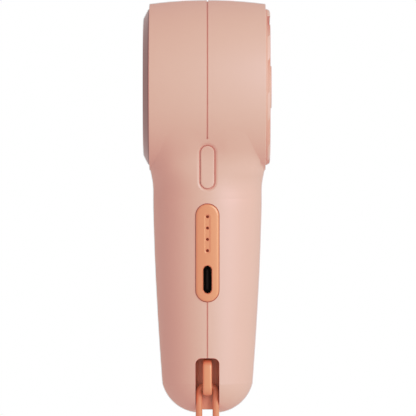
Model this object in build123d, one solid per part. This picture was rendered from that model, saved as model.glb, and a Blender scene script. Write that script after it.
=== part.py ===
"""Handheld turbo fan: a round head on a tapered grip, with a battery, a charge plate and a wrist cord.

The frame is in millimetres, +Z up, with the origin on the grip axis where a hand closes round it.
Air enters at +Y and leaves at -Y; the button, the charge plate and the cord notch face +X.
"""
from build123d import *
import math
import os

# ---- head -------------------------------------------------------------------------------------
HEAD_RISE = 68.0          # hold point up to the fan axis
DRUM_R = 29.1             # head radius at the seam
DRUM_HALF = 19.4          # seam to each flat face
BARREL_R = 145.0          # crowning radius of the drum's rim
FACE_EDGE_R = 0.25        # rounding where the rim meets a face
WALL = 1.8                # shell wall

# ---- grip -------------------------------------------------------------------------------------
BASE_DROP = 41.0          # hold point down to the base
GRIP_BASE_HALF = 14.3     # half depth at the base
GRIP_TOP_HALF = 18.2      # half depth under the head
GRIP_ASPECT = 0.97        # half width over half depth
GRIP_SWELL = 1.6          # how early the taper fills out
BASE_ROUND = 13.0         # rounding of the base
BASE_ARC = 78.0           # degrees of that rounding before it meets the side
NECK_DROP = 3.9           # flare starts this far below the drum
NECK_RISE = 11.1          # flare ends this far up inside the drum
NECK_TUCK = 0.3           # flare stays this far inside the drum's faces
NECK_SPREAD = 3.4         # sideways growth of the flare
NECK_SQUARE = 2.0         # how much squarer the flare's section becomes
GRIP_SHARES = (0, 0.08, 0.16, 0.26, 0.4, 0.56, 0.72, 0.86, 0.94, 1.0)
SECTION_POINTS = 24       # points round each section, evenly shared
NECK_STEPS = 6            # stations along the flare
NECK_SOFT_R = 0.8         # softening of the crease between flare and drum

# ---- seam, pins -------------------------------------------------------------------------------
SEAM_WIDTH = 0.45
SEAM_DEPTH = 0.4
SEAM_HEAD_Z = 50.3        # the front stretch of the seam starts here
SEAM_LOW_Z = -3.7         # and the lower stretch ends here, at the charge plate
PIN_R = 0.7
PIN_LONG = 8.0
BOSS_R = 1.7
PIN_FIT = 0.03
GRIP_PINS = ((-11.0, -29.0), (13.2, 29.0))
HEAD_PIN_ANGLES = (60.0, 120.0)

# ---- air path ---------------------------------------------------------------------------------
DUCT_R = 24.0             # outside of the duct sleeve
DUCT_WALL = 1.2
DUCT_SHY = 0.2            # sleeve ends this far inside the shell's faces
SEAT_GAP = 0.1            # clearance of parts that slip together
RIM_R = 26.1              # outlet ring and intake grille on the shell's faces
RING_FACE_R = 22.9
RING_PROUD = 2.0
RING_BORE_R = 20.9
SPIGOT_DEEP = 3.4
GUIDE_FRONT = 17.3        # seam to the front of the outlet vanes
GUIDE_DEEP = 3.4
GUIDE_VANES = 11
VANE_THICK = 0.9
HUB_R = 7.6
HUB_WALL = 1.3
NOSE_HIGH = 0.2           # crest of the nose cap ahead of the vanes

# ---- intake -----------------------------------------------------------------------------------
GRILLE_PROUD = 1.5
GRILLE_ROUND = 1.2
GRILLE_PLATE = 1.6        # thickness inside the shell's opening
ARMS = 8
ARM_SWEEP = 58.0          # degrees an arm winds between hub and rim
ARM_SLOT = 25.0           # degrees each slot takes at the rim
SLOT_PHASE = -26.0        # degrees, rim end of the first slot
SLOT_IN_R = 9.4
RECESS_FLOOR = 0.5        # what is left of the grille's height under a slot at the rim
CAP_R = 7.1
CAP_PROUD = 0.55
MESH_THICK = 0.8
MESH_BAR = 0.7
MESH_RINGS = (11.0, 14.5, 18.0)
MESH_SPOKES = 12

# ---- motor and impeller -----------------------------------------------------------------------
SHAFT_R = 1.0
RUN_FIT = 0.03
BEARING_R = 2.5
BEARING_LONG = 2.3
TUBE_WALL = 0.9
MOUNT_FRONT = -12.6       # front of the motor mount, along Y
MOUNT_DISC = 1.5
MOUNT_TUBE_LONG = 11.6
MOUNT_R = 12.0
STRAIGHTENERS = 7
STRAIGHTENER_DEEP = 6.5
CORE_R = 8.8
CORE_LONG = 5.0
POLES = 6
POLE_WIDE = 2.4
YOKE_R = 4.9
COIL_GROW = 0.75
MAGNET_WALL = 1.2
AIR_GAP = 0.4
CAN_WALL = 0.7
CAN_BACK = 0.8
HUB_SHELL = 1.2
ROTOR_LONG = 16.0
SPINNER_LONG = 3.2
BLADES = 9
BLADE_LONG = 9.0
BLADE_THICK = 1.0
TIP_GAP = 0.8
MOUNT_TO_CAN = 0.6

# ---- button -----------------------------------------------------------------------------------
BUTTON_Z = 41.0
BUTTON_WIDE = 4.9
BUTTON_TALL = 14.4
BUTTON_GAP = 0.4
RECESS_RIM = 0.55
RECESS_DEEP = 0.4
BUTTON_DEEP = 4.2
FLANGE_GROW = 0.75
FLANGE_THICK = 0.8
FLANGE_CLEAR = 1.4
STEM_R = 1.3
TRAVEL = 0.6
PRESS_CLEAR = 0.3

# ---- charge plate and port ---------------------------------------------------------------------
PLATE_Z = 12.6
PLATE_WIDE = 7.9
PLATE_TALL = 32.7
PLATE_PROUD = 0.5
PLATE_SUNK = 0.95
PLATE_EDGE_R = 0.35
PLATE_SIDE_GAP = 0.05
DOTS = 4
DOT_R = 0.47
DOT_PITCH = 3.75
DOT_TOP_Z = 24.6
DOT_GROOVE_WIDE = 2.0
DOT_GROOVE_TALL = 13.2
DOT_GROOVE_DEEP = 0.2
PORT_Z = 3.75
PORT_TALL = 9.3
PORT_WIDE = 2.9
PORT_SHELL = 0.3
PORT_FIT = 0.1
PORT_SHY = 0.5
PORT_BEHIND_PLATE = 0.5
TONGUE_TALL = 6.7
TONGUE_THICK = 0.7

# ---- board, battery ----------------------------------------------------------------------------
BOARD_X = 9.0
BOARD_THICK = 1.2
BOARD_HALF = 8.0
BOARD_LOW = -14.0
BOARD_HIGH = 43.6
SWITCH_TALL = 6.0
SWITCH_WIDE = 3.6
SWITCH_HIGH = 2.0
CELL_R = 9.1
CELL_LONG = 65.0
CELL_X = -4.0
CELL_LOW = -24.6
TAB_THICK = 0.3
CRADLE_WALL = 0.9
CRADLE_LOW = -6.0
CRADLE_HIGH = 34.0
RIB_THICK = 1.4
LEAD_R = 0.6

# ---- cord notch and wrist cord -----------------------------------------------------------------
NOTCH_WIDE = 7.9
NOTCH_TOP = -22.4
NOTCH_BACK_X = 7.4
NOTCH_CORNER_R = 2.0
NOTCH_WALL = 1.5
CHANNEL_Z = -39.7
STAPLE_WIDE = 3.1
STAPLE_TOP = -22.8
STAPLE_LOW = -34.9
STAPLE_BAR = 2.0
STAPLE_FRONT_X = 13.8
STAPLE_ANCHOR = 1.2
STAPLE_INNER_R = 0.9
STAPLE_OUTER_R = 0.55
STAPLE_CORNER_R = 2.4
CORD_R = 1.1
CORD_X = 9.6
CORD_FIT = 0.05
BEAD_TOP = -50.0
BEAD_TALL = 9.0
BEAD_WIDE = 10.6
BEAD_DEEP = 5.4
BEAD_ROUND = 1.6
# the cord's route: up through the bead, over the staple's lower leg, down and round the wrist loop
CORD_ROUTE = [
    (9.6, -2.8, -53.0), (9.6, -2.8, -31.65), (9.6, 2.8, -31.65), (9.6, 2.8, -60.5),
    (9.8, 6.6, -73.0), (10.3, 14.4, -86.0), (10.2, 17.9, -101.0), (9.6, 11.5, -115.0),
    (9.0, -3.0, -120.4), (8.8, -15.2, -112.4), (8.9, -18.0, -96.0), (9.3, -11.6, -80.0),
    (9.6, -4.2, -67.0), (9.6, -2.8, -53.4),
]
CORD_ARC_SHARE = 0.45

GRIP_LOW = -BASE_DROP
DRUM_BOTTOM = HEAD_RISE - DRUM_R
NECK_LOW = DRUM_BOTTOM - NECK_DROP
DUCT_BORE = DUCT_R - DUCT_WALL
BOARD_FACE = BOARD_X + BOARD_THICK
CELL_HIGH = CELL_LOW + CELL_LONG


def box(x0, x1, y0, y1, z0, z1):
    """A block between two corners."""
    return Pos((x0 + x1) / 2, (y0 + y1) / 2, (z0 + z1) / 2) * Box(x1 - x0, y1 - y0, z1 - z0)


def rod_y(radius, y0, y1, x=0.0, z=HEAD_RISE):
    """A cylinder along Y, on the fan axis unless another place is given."""
    return Pos(x, (y0 + y1) / 2, z) * Rot(90, 0, 0) * Cylinder(radius, abs(y1 - y0))


def tube_y(outer, inner, y0, y1):
    """A tube round the fan axis."""
    return rod_y(outer, y0, y1) - rod_y(inner, y0 - 1, y1 + 1)


def rod_z(radius, z0, z1, x=0.0, y=0.0):
    """A cylinder along Z."""
    return Pos(x, y, (z0 + z1) / 2) * Cylinder(radius, z1 - z0)


def slot_x(wide, tall, x0, x1, z, y=0.0):
    """An upright stadium pushed along X."""
    face = Plane.YZ.offset(x0) * (Pos(y, z) * SlotOverall(tall, wide, rotation=90))
    return extrude(face, x1 - x0)


def turned(points):
    """A closed outline of (radius, y) points turned round the fan axis."""
    outline = [(r, y, HEAD_RISE) for r, y in points]
    face = make_face(Polyline(*outline, close=True))
    return revolve(face, Axis((0, 0, HEAD_RISE), (0, 1, 0)), 360)


def around(count, shape, phase=0.0):
    """Copies of a shape spread evenly round the fan axis."""
    axis = Axis((0, 0, HEAD_RISE), (0, 1, 0))
    return [shape.rotate(axis, phase + 360.0 * i / count) for i in range(count)]


def vane(r0, r1, y_mid, deep, thick, pitch0, pitch1):
    """One blade along +X: flat at each end, with its own pitch at root and tip."""
    ends = []
    for radius, pitch in ((r0, pitch0), (r1, pitch1)):
        plane = Plane(origin=(radius, y_mid, HEAD_RISE), x_dir=(0, 1, 0), z_dir=(1, 0, 0))
        length = deep / math.cos(math.radians(pitch))
        ends.append(plane * (Rot(0, 0, pitch) * Rectangle(length, thick)))
    blade = loft(ends, ruled=True)
    return blade & box(r0 - 2, r1 + 2, y_mid - deep / 2, y_mid + deep / 2, 0, 2 * HEAD_RISE)


# ---- outer form ------------------------------------------------------------------------------
def drum(inset):
    """The head: a crowned drum on the fan axis, shrunk by inset."""
    radius = DRUM_R - inset
    half = DRUM_HALF - inset
    sag = BARREL_R - math.sqrt(BARREL_R ** 2 - half ** 2)
    low, high = (radius - sag, -half, HEAD_RISE), (radius - sag, half, HEAD_RISE)
    outline = Polyline(low, (0, -half, HEAD_RISE), (0, half, HEAD_RISE), high)
    outline += ThreePointArc(low, (radius, 0, HEAD_RISE), high)
    return revolve(make_face(outline), Axis((0, 0, HEAD_RISE), (0, 1, 0)), 360)


def section(z, half_wide, half_deep, squareness):
    """A rounded section of the grip: an ellipse at squareness 2, nearer a rectangle above it."""
    points = []
    count = SECTION_POINTS
    for i in range(count):
        angle = 2 * math.pi * i / count
        c, s = abs(math.cos(angle)), abs(math.sin(angle))
        reach = ((c / half_wide) ** squareness + (s / half_deep) ** squareness) ** (-1 / squareness)
        points.append(Vector(reach * math.cos(angle), reach * math.sin(angle), z))
    shares = [i / count for i in range(count + 1)]
    return Face(Wire([Edge.make_spline(points, periodic=True, parameters=shares)]))


def half_depth(z):
    """Half depth of the grip's taper at a height, without the flare."""
    up = min(1.0, max(0.0, (z - GRIP_LOW) / (NECK_LOW - GRIP_LOW)))
    return GRIP_BASE_HALF + (GRIP_TOP_HALF - GRIP_BASE_HALF) * (1 - (1 - up) ** GRIP_SWELL)


def grip(inset):
    """The tapered grip; its top flares out to meet the drum."""
    low = GRIP_LOW + inset
    flare = NECK_DROP + NECK_RISE
    stations = [low + (NECK_LOW - low) * share for share in GRIP_SHARES]
    stations += [NECK_LOW + flare * (i + 1) / NECK_STEPS for i in range(NECK_STEPS)]
    faces = []
    for z in stations:
        half_deep = half_depth(z)
        rise = max(0.0, (z - NECK_LOW) / flare)
        half_wide = half_deep * GRIP_ASPECT + NECK_SPREAD * rise ** 1.7
        step = min(1.0, rise / 0.4)
        half_deep += (DRUM_HALF - NECK_TUCK - GRIP_TOP_HALF) * step * step * (3 - 2 * step)
        faces.append(section(z, half_wide - inset, half_deep - inset, 2 + NECK_SQUARE * rise))
    return loft(faces)


def bowl(inset):
    """The space that the rounded base fills, open above."""
    low = GRIP_LOW + inset
    radius = BASE_ROUND - inset
    lean = math.radians(BASE_ARC)
    end_z = low + radius * (1 - math.cos(lean))
    end_r = half_depth(end_z) - inset + 0.06
    flat = end_r - radius * math.sin(lean)
    half_lean = lean / 2
    mid = (flat + radius * math.sin(half_lean), 0, low + radius * (1 - math.cos(half_lean)))
    far = 3 * DRUM_R
    outline = Line((0, 0, low), (flat, 0, low)) + ThreePointArc((flat, 0, low), mid, (end_r, 0, end_z))
    outline += Polyline((end_r, 0, end_z), (far, 0, end_z + far), (far, 0, 3 * far), (0, 0, 3 * far), (0, 0, low))
    solid = revolve(make_face(outline), Axis.Z, 360)
    return scale(solid, by=(GRIP_ASPECT, 1, 1))


def plain_body(inset):
    """Drum and grip joined, without softened edges."""
    return (drum(inset) + grip(inset)) & bowl(inset)


def outer_body():
    """The finished outside: soft rims on the drum and a softened crease under it."""
    body = drum(0.0) + grip(0.0)
    rims = []
    for e in body.edges():
        if e.bounding_box().size.Y < 0.01 and abs(abs(e.center().Y) - DRUM_HALF) < 0.01:
            rims.append(e)
    body = fillet(rims, FACE_EDGE_R)
    creases = []
    for e in body.edges():
        spread = e.bounding_box()
        under = DRUM_BOTTOM - NECK_DROP - 4 < spread.min.Z and spread.max.Z < HEAD_RISE
        if e.geom_type == GeomType.BSPLINE and spread.size.Y > DRUM_HALF and under:
            creases.append(e)
    return fillet(creases, NECK_SOFT_R) & bowl(0.0)


def shifted(body, amount):
    """The outside moved along X, used for depths measured from the +X face."""
    return body.moved(Location((amount, 0, 0)))


# ---- shells ----------------------------------------------------------------------------------
def notch_cut(grow):
    """The cord notch on +X and the shallow channel it leads to under the base."""
    half = NOTCH_WIDE / 2 + grow
    top = NOTCH_TOP + grow
    low = GRIP_LOW - 5
    face = Rectangle(2 * half, top - low)
    face = fillet(face.vertices().group_by(Axis.Y)[-1], NOTCH_CORNER_R)
    start = NOTCH_BACK_X - grow
    cut = extrude(Plane.YZ.offset(start) * (Pos(0, (top + low) / 2) * face), DRUM_R)
    return cut + box(-DRUM_R, start + 1, -half, half, low, CHANNEL_Z + grow)


def seam_groove(body):
    """The fine groove along the join: all of it on -X, two stretches of it on +X."""
    skin = body - plain_body(SEAM_DEPTH)
    far = 2 * DRUM_R
    half = SEAM_WIDTH / 2
    top = HEAD_RISE + far
    zones = box(-far, 0, -half, half, CHANNEL_Z - far, top)
    zones += box(-1, far, -half, half, SEAM_HEAD_Z, top)
    zones += box(0, far, -half, half, NOTCH_TOP, SEAM_LOW_Z)
    return skin & zones


def pin_places():
    """Where the shells are pinned together, as (x, z)."""
    radius = (DUCT_R + DRUM_R - WALL) / 2
    head = []
    for angle in HEAD_PIN_ANGLES:
        a = math.radians(angle)
        head.append((radius * math.cos(a), HEAD_RISE + radius * math.sin(a)))
    return head + list(GRIP_PINS)


def port_cut(grow, x0):
    """A stadium cut for the charging port."""
    return slot_x(PORT_WIDE + 2 * grow, PORT_TALL + 2 * grow, x0, DRUM_R, PORT_Z)


def shells(body):
    """The two halves of the case, split at Y = 0."""
    cavity = plain_body(WALL) - notch_cut(NOTCH_WALL)
    case = body - cavity
    bosses = [rod_y(BOSS_R, -DRUM_HALF, DRUM_HALF, x, z) for x, z in pin_places()]
    for boss in bosses:
        case += boss & body
    for x, z in pin_places():
        case -= rod_y(PIN_R + PIN_FIT, -PIN_LONG / 2 - 0.1, PIN_LONG / 2 + 0.1, x, z)
    case -= rod_y(DUCT_R + SEAT_GAP, -DRUM_HALF - 1, DRUM_HALF + 1)
    case -= notch_cut(0.0)
    case -= seam_groove(body)
    rim = 2 * (BUTTON_GAP + RECESS_RIM)
    recess = slot_x(BUTTON_WIDE + rim, BUTTON_TALL + rim, 0, DRUM_R, BUTTON_Z)
    case -= recess - shifted(body, -RECESS_DEEP)
    gap = 2 * BUTTON_GAP
    case -= slot_x(BUTTON_WIDE + gap, BUTTON_TALL + gap, BOARD_FACE, DRUM_R, BUTTON_Z)
    side = 2 * PLATE_SIDE_GAP
    pocket = slot_x(PLATE_WIDE + side, PLATE_TALL + side, 0, DRUM_R, PLATE_Z)
    case -= pocket - shifted(body, -PLATE_SUNK - PLATE_SIDE_GAP)
    case -= port_cut(PORT_SHELL + PORT_FIT, BOARD_FACE)
    dots_mid = DOT_TOP_Z - DOT_PITCH * (DOTS - 1) / 2
    case -= slot_x(DOT_GROOVE_WIDE, DOT_GROOVE_TALL, BOARD_FACE, DRUM_R, dots_mid)
    for leg in (STAPLE_TOP - STAPLE_BAR / 2, STAPLE_LOW + STAPLE_BAR / 2):
        half = STAPLE_BAR / 2 + SEAT_GAP
        reach = NOTCH_BACK_X - STAPLE_ANCHOR - SEAT_GAP
        wide = STAPLE_WIDE / 2 + SEAT_GAP
        case -= box(reach, NOTCH_BACK_X + 1, -wide, wide, leg - half, leg + half)
    far = 3 * DRUM_R
    front = case & box(-far, far, -far, 0, -far, 2 * far)
    rear = case & box(-far, far, 0, far, -far, 2 * far)
    return front, rear


def shell_pins():
    """Dowel pins across the join."""
    return [rod_y(PIN_R, -PIN_LONG / 2, PIN_LONG / 2, x, z) for x, z in pin_places()]


# ---- air path --------------------------------------------------------------------------------
def duct_sleeve():
    """The tube that carries the air through the head, with a slit for the motor leads."""
    end = DRUM_HALF - DUCT_SHY
    slit = box(5.5, 12.0, MOUNT_FRONT - 1.2, MOUNT_FRONT + 7.6, DRUM_BOTTOM, HEAD_RISE - 18)
    return tube_y(DUCT_R, DUCT_BORE, -end, end) - slit


def outlet_ring():
    """The conical ring round the outlet, with a spigot down inside the sleeve."""
    face = -DRUM_HALF
    front = face - RING_PROUD
    spigot = DUCT_BORE - SEAT_GAP
    edge = 0.35
    bulge = ((RIM_R + RING_FACE_R) / 2 + 0.12, (face + front) / 2 - 0.1)
    return turned([
        (spigot, face), (RIM_R, face), (RIM_R - 0.1, face - edge), bulge,
        (RING_FACE_R + 0.15, front + 0.12), (RING_FACE_R - 0.25, front), (RING_BORE_R + edge, front),
        (RING_BORE_R, front + edge), (RING_BORE_R, face + SPIGOT_DEEP), (spigot, face + SPIGOT_DEEP)])


def outlet_guide():
    """The outlet vanes between a hub ring and an outer band."""
    y0 = -GUIDE_FRONT
    y1 = y0 + GUIDE_DEEP
    band = RING_BORE_R - SEAT_GAP
    guide = tube_y(band, band - 1.0, y0, y1) + tube_y(HUB_R, HUB_R - HUB_WALL, y0, y1)
    blade = vane(HUB_R - 0.4, band - 0.4, (y0 + y1) / 2, GUIDE_DEEP, VANE_THICK, 24, 34)
    for copy in around(GUIDE_VANES, blade):
        guide += copy
    return guide


def outlet_collar():
    """The spacer between the outlet vanes' band and the sleeve, behind the ring's spigot."""
    y0 = -DRUM_HALF + SPIGOT_DEEP
    return tube_y(DUCT_BORE - SEAT_GAP, RING_BORE_R, y0, -GUIDE_FRONT + GUIDE_DEEP)


def nose_cap():
    """The domed cap in the middle of the outlet vanes."""
    y0 = -GUIDE_FRONT
    plug = HUB_R - HUB_WALL - SEAT_GAP
    crest = y0 - NOSE_HIGH
    return turned([
        (0, y0 + GUIDE_DEEP), (plug, y0 + GUIDE_DEEP), (plug, y0 + 0.1), (plug - 0.4, y0 - 0.05),
        (plug - 2.0, crest), (0, crest)])


def spiral(radius, start_r, end_r, rim_angle):
    """A point on an arm's edge: it winds back as it comes in from the rim."""
    share = (end_r - radius) / (end_r - start_r)
    angle = math.radians(rim_angle - ARM_SWEEP * share ** 1.25)
    return (radius * math.cos(angle), radius * math.sin(angle))


def spiral_slot(r0, r1, y0, y1, angle0, angle1):
    """One curved slot between two arms, cut along Y."""
    steps = [r0 + (r1 - r0) * i / 4 for i in range(5)]
    one = [spiral(r, r0, r1, angle0) for r in steps]
    two = [spiral(r, r0, r1, angle1) for r in reversed(steps)]
    outline = Spline(*one) + Line(one[-1], two[0]) + Spline(*two) + Line(two[-1], one[0])
    plane = Plane(origin=(0, y0, HEAD_RISE), x_dir=(1, 0, 0), z_dir=(0, 1, 0))
    return extrude(plane * make_face(outline), y1 - y0)


def intake_grille():
    """The rear disc: curved arms whose slots run out over the rim."""
    back = DRUM_HALF + GRILLE_PROUD
    disc = rod_y(RIM_R, DRUM_HALF, back)
    disc = fillet(disc.edges().sort_by(Axis.Y)[-1], GRILLE_ROUND)
    disc += rod_y(DUCT_BORE - SEAT_GAP, DRUM_HALF - GRILLE_PLATE, DRUM_HALF)
    edge_r = RIM_R + 1.0
    inner_edge = DUCT_BORE - SEAT_GAP - 1.0
    through = spiral_slot(SLOT_IN_R, inner_edge, DRUM_HALF - 4, back + 1, ARM_SLOT, 0.0)
    floor = DRUM_HALF + RECESS_FLOOR
    shallow = spiral_slot(inner_edge - 2.0, edge_r, floor, back + 1, ARM_SLOT + 13.0, 13.0)
    for copy in around(ARMS, through, SLOT_PHASE - 13.0) + around(ARMS, shallow, SLOT_PHASE):
        disc -= copy
    return disc


def intake_cap():
    """The raised round cap in the middle of the intake."""
    y0 = DRUM_HALF + GRILLE_PROUD
    cap = rod_y(CAP_R, y0, y0 + CAP_PROUD)
    return fillet(cap.edges().sort_by(Axis.Y)[-1], 0.3)


def intake_mesh():
    """The dust screen behind the intake grille."""
    y1 = DRUM_HALF - GRILLE_PLATE - SEAT_GAP
    y0 = y1 - MESH_THICK
    outer = DUCT_BORE - SEAT_GAP
    mesh = tube_y(outer, outer - 1.2, y0, y1) + rod_y(CAP_R, y0, y1)
    for radius in MESH_RINGS:
        mesh += tube_y(radius + MESH_BAR / 2, radius - MESH_BAR / 2, y0, y1)
    half = MESH_BAR / 2
    bar = box(CAP_R - 0.5, outer - 0.6, y0, y1, HEAD_RISE - half, HEAD_RISE + half)
    for copy in around(MESH_SPOKES, bar):
        mesh += copy
    return mesh


# ---- motor -----------------------------------------------------------------------------------
TUBE_R = BEARING_R + PIN_FIT + TUBE_WALL
CORE_START = MOUNT_FRONT + MOUNT_DISC + MOUNT_TO_CAN + 1.3
MAGNET_IN_R = CORE_R + AIR_GAP
CAN_IN_R = MAGNET_IN_R + MAGNET_WALL
CAN_R = CAN_IN_R + CAN_WALL
CAN_FRONT = MOUNT_FRONT + MOUNT_DISC + MOUNT_TO_CAN
CAN_REAR = MOUNT_FRONT + MOUNT_TUBE_LONG + 1.6
ROTOR_R = CAN_R + HUB_SHELL


def motor_mount():
    """The plate, bearing tube and flow straighteners that carry the motor in the sleeve."""
    y0 = MOUNT_FRONT
    disc = y0 + MOUNT_DISC
    mount = rod_y(MOUNT_R, y0, disc) + rod_y(TUBE_R, y0, y0 + MOUNT_TUBE_LONG)
    reach = DUCT_BORE - SEAT_GAP
    deep = STRAIGHTENER_DEEP
    fin = vane(MOUNT_R - 0.6, reach - 0.3, y0 + MOUNT_DISC / 2, MOUNT_DISC, 1.1, 0, 0)
    tall = vane(CAN_R + HUB_SHELL + 1.6, reach - 0.3, y0 + deep / 2, deep, 1.1, 0, 0)
    for copy in around(STRAIGHTENERS, fin + tall, 12.0):
        mount += copy
    mount += tube_y(reach, reach - 1.0, y0, y0 + deep)
    return mount - rod_y(BEARING_R + PIN_FIT, y0 - 1, y0 + MOUNT_TUBE_LONG + 1)


def bearing_places():
    """The near ends of the two bearings, along Y."""
    return (MOUNT_FRONT + 0.2, MOUNT_FRONT + MOUNT_TUBE_LONG - BEARING_LONG)


def motor_bearings():
    """Two small ball bearings in the mount's tube."""
    return [tube_y(BEARING_R, SHAFT_R + RUN_FIT, y, y + BEARING_LONG) for y in bearing_places()]


def stator_core():
    """The laminated core: a yoke with six poles."""
    y0, y1 = CORE_START, CORE_START + CORE_LONG
    core = rod_y(YOKE_R, y0, y1)
    half = POLE_WIDE / 2
    pole = box(0, CORE_R - 0.5, y0, y1, HEAD_RISE - half, HEAD_RISE + half)
    shoe = box(CORE_R - 1.3, CORE_R, y0, y1, HEAD_RISE - 3.2, HEAD_RISE + 3.2)
    for copy in around(POLES, pole + (shoe & rod_y(CORE_R, y0, y1))):
        core += copy
    return core - rod_y(TUBE_R + PIN_FIT, y0 - 1, y1 + 1)


def stator_windings():
    """One copper coil round each pole."""
    y0, y1 = CORE_START - COIL_GROW, CORE_START + CORE_LONG + COIL_GROW
    half = POLE_WIDE / 2 + COIL_GROW
    near, far = YOKE_R + 0.9, CORE_R - 1.4
    coil = box(near, far, y0, y1, HEAD_RISE - half, HEAD_RISE + half)
    inner = POLE_WIDE / 2 + 0.03
    core = box(near - 1, far + 1, CORE_START - 0.03, CORE_START + CORE_LONG + 0.03,
               HEAD_RISE - inner, HEAD_RISE + inner)
    return around(POLES, coil - core)


def magnet_ring():
    """The ring magnet inside the rotor can."""
    return tube_y(CAN_IN_R, MAGNET_IN_R, CAN_FRONT + 0.4, CORE_START + CORE_LONG + 1.4)


def rotor_can():
    """The steel cup that carries the magnet and is pressed on the shaft."""
    can = rod_y(CAN_R, CAN_FRONT, CAN_REAR) - rod_y(CAN_IN_R, CAN_FRONT - 1, CAN_REAR - CAN_BACK)
    return can - rod_y(SHAFT_R, CAN_REAR - 2, CAN_REAR + 1)


def motor_shaft():
    """The steel shaft through both bearings."""
    return rod_y(SHAFT_R, MOUNT_FRONT + 0.2, CAN_REAR + 2.0)


def impeller():
    """The hub over the rotor can, its spinner and the twisted blades."""
    front = CAN_FRONT
    back = front + ROTOR_LONG
    hub = turned([(0, front), (ROTOR_R, front), (ROTOR_R, back - 1.0), (ROTOR_R * 0.8, back + 1.5),
                  (ROTOR_R * 0.42, back + SPINNER_LONG), (0, back + SPINNER_LONG + 0.5)])
    hub -= rod_y(CAN_R, front - 1, CAN_REAR)
    hub -= rod_y(SHAFT_R, front, CAN_REAR + 2.0)
    tip = DUCT_BORE - TIP_GAP
    mid = back - BLADE_LONG / 2 - 0.5
    blade = vane(ROTOR_R - 0.8, tip + 2.0, mid, BLADE_LONG, BLADE_THICK, 38, 54)
    blade = blade & rod_y(tip, front, back + 5)
    for copy in around(BLADES, blade):
        hub += copy
    return hub


# ---- button and switch -------------------------------------------------------------------------
def switch_top():
    """How far out the switch's plunger reaches."""
    return BOARD_FACE + SWITCH_HIGH + 0.6


def power_button(body):
    """The button: a cap flush with the case, a hidden flange and a stem over the switch."""
    cap = slot_x(BUTTON_WIDE, BUTTON_TALL, 0, DRUM_R, BUTTON_Z) & body
    cap -= shifted(body, -BUTTON_DEEP)
    grow = 2 * (BUTTON_GAP + FLANGE_GROW)
    flange = slot_x(BUTTON_WIDE + grow, BUTTON_TALL + grow, 0, DRUM_R, BUTTON_Z)
    under = WALL + FLANGE_CLEAR
    flange = (flange & shifted(body, -under)) - shifted(body, -under - FLANGE_THICK)
    end = switch_top() + TRAVEL + PRESS_CLEAR
    stem = Pos(end + 2.0, 0, BUTTON_Z) * Rot(0, 90, 0) * Cylinder(STEM_R, 4.0)
    stem &= body
    return cap + flange + stem


def button_switch():
    """The click switch on the board under the button."""
    half = SWITCH_WIDE / 2
    z0, z1 = BUTTON_Z - SWITCH_TALL / 2 - 0.6, BUTTON_Z + SWITCH_TALL / 2 - 0.6
    block = box(BOARD_FACE, BOARD_FACE + SWITCH_HIGH, -half, half, z0, z1)
    mid = BOARD_FACE + SWITCH_HIGH / 2 + 0.3
    return block + Pos(mid, 0, BUTTON_Z) * Rot(0, 90, 0) * Cylinder(1.2, SWITCH_HIGH + 0.6)


# ---- charge plate ------------------------------------------------------------------------------
def dot_heights():
    """The heights of the charge lights, from the top."""
    return [DOT_TOP_Z - DOT_PITCH * i for i in range(DOTS)]


def charge_plate(body):
    """The proud stadium plate with the light holes and the port's mouth."""
    plate = slot_x(PLATE_WIDE, PLATE_TALL, 0, DRUM_R, PLATE_Z) & shifted(body, PLATE_PROUD)
    plate -= shifted(body, -PLATE_SUNK)
    rim = plate.faces().sort_by(Axis.X)[-1].outer_wire().edges()
    plate = fillet(rim, PLATE_EDGE_R)
    dots_mid = DOT_TOP_Z - DOT_PITCH * (DOTS - 1) / 2
    groove = slot_x(DOT_GROOVE_WIDE, DOT_GROOVE_TALL, 0, DRUM_R, dots_mid)
    plate -= groove - shifted(body, PLATE_PROUD - DOT_GROOVE_DEEP)
    for z in dot_heights():
        plate -= Pos(DRUM_R / 2, 0, z) * Rot(0, 90, 0) * Cylinder(DOT_R, DRUM_R)
    return plate - port_cut(0.0, 0.0)


def light_pipe(body):
    """The clear strip with a pin up to each light hole."""
    back = BOARD_FACE + 1.5
    half = DOT_GROOVE_WIDE / 2 - 0.1
    z0, z1 = dot_heights()[-1] - 1.0, dot_heights()[0] + 1.0
    pipe = box(back, back + 1.2, -half, half, z0, z1)
    for z in dot_heights():
        pipe += Pos((back + DRUM_R) / 2, 0, z) * Rot(0, 90, 0) * Cylinder(DOT_R - 0.05, DRUM_R - back)
    return pipe & shifted(body, PLATE_PROUD - DOT_GROOVE_DEEP - 0.25)


def led_chips():
    """The charge lights on the board."""
    return [box(BOARD_FACE, BOARD_FACE + 0.8, -0.5, 0.5, z - 0.8, z + 0.8) for z in dot_heights()]


def port_end(body):
    """How far out the port's shell reaches, just short of the plate's face."""
    probe = body & box(0, 2 * DRUM_R, -0.1, 0.1, PORT_Z - 0.1, PORT_Z + 0.1)
    return probe.bounding_box().max.X - PLATE_SUNK - PORT_BEHIND_PLATE


def usb_shell(body):
    """The metal shell of the port, standing on the board."""
    end = port_end(body)
    outer = slot_x(PORT_WIDE + 2 * PORT_SHELL, PORT_TALL + 2 * PORT_SHELL, BOARD_FACE, end, PORT_Z)
    return outer - slot_x(PORT_WIDE, PORT_TALL, BOARD_FACE + 1.0, end + 1, PORT_Z)


def usb_tongue(body):
    """The contact tongue in the middle of the port."""
    half = TONGUE_THICK / 2
    tall = TONGUE_TALL / 2
    end = port_end(body) - PORT_SHY
    tongue = box(BOARD_FACE + 1.0, end, -half, half, PORT_Z - tall, PORT_Z + tall)
    block = slot_x(PORT_WIDE - 0.1, PORT_TALL - 0.1, BOARD_FACE + 1.0, BOARD_FACE + 2.2, PORT_Z)
    return tongue + block


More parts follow.
